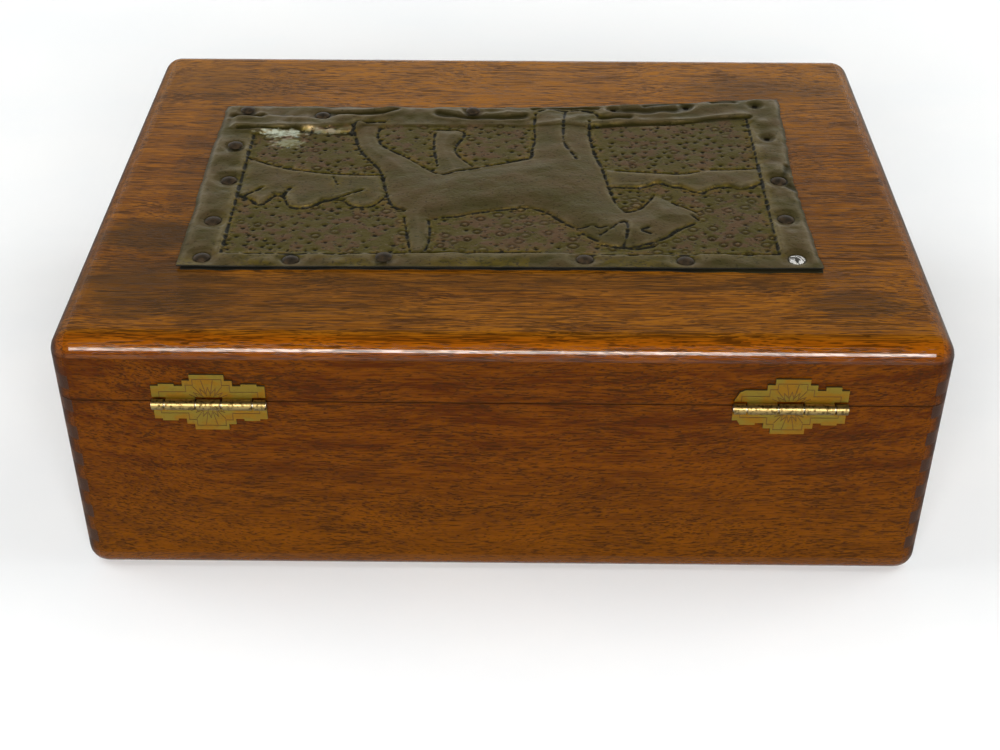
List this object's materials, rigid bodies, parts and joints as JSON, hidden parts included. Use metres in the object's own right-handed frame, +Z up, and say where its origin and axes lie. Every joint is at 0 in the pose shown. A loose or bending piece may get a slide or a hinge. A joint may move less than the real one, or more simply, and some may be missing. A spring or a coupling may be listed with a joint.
{
  "type": "wooden box with hinged lid",
  "caption": "Low rectangular finger-jointed wooden box with a hinged lid that carries a nailed, embossed sheet-metal plaque.",
  "frame": {"origin": "centre of the bottom face of the base", "axes": "+Z up, -Y the front, +Y the hinge side, +X the right-hand side as seen from the front, along the box's length"},
  "size_m": [0.229, 0.1739, 0.0785],
  "materials": {
    "box_wood": "satin lacquer over reddish-brown hardwood",
    "hinge_brass": "lacquered, pressed with a pattern",
    "pin_steel": "plain wire",
    "plaque_bronze": "aged, dull, with green and yellow tarnish",
    "nail_dark": "dark, slightly rusted",
    "nail_bright": "bright plated"
  },
  "bodies": {
    "base": {"base_bottom_panel": "box_wood", "base_front_board": "box_wood", "base_back_board": "box_wood", "base_left_board": "box_wood", "base_right_board": "box_wood", "left_hinge_lower_leaf": "hinge_brass", "right_hinge_lower_leaf": "hinge_brass", "left_hinge_pin": "pin_steel", "right_hinge_pin": "pin_steel"},
    "lid": {"lid_top_panel": "box_wood", "lid_front_board": "box_wood", "lid_back_board": "box_wood", "lid_left_board": "box_wood", "lid_right_board": "box_wood", "left_hinge_upper_leaf": "hinge_brass", "right_hinge_upper_leaf": "hinge_brass", "plaque": "plaque_bronze", "driven_nails": "nail_dark", "lifted_nails": "nail_dark", "bright_nail": "nail_bright"}
  },
  "joints": [
    {"name": "lid_hinge", "type": "hinge", "parent": "base", "child": "lid", "pos_m": [0, 0.087, 0.05775], "axis": [-1, 0, 0], "range_deg": [0, 180]}
  ]
}
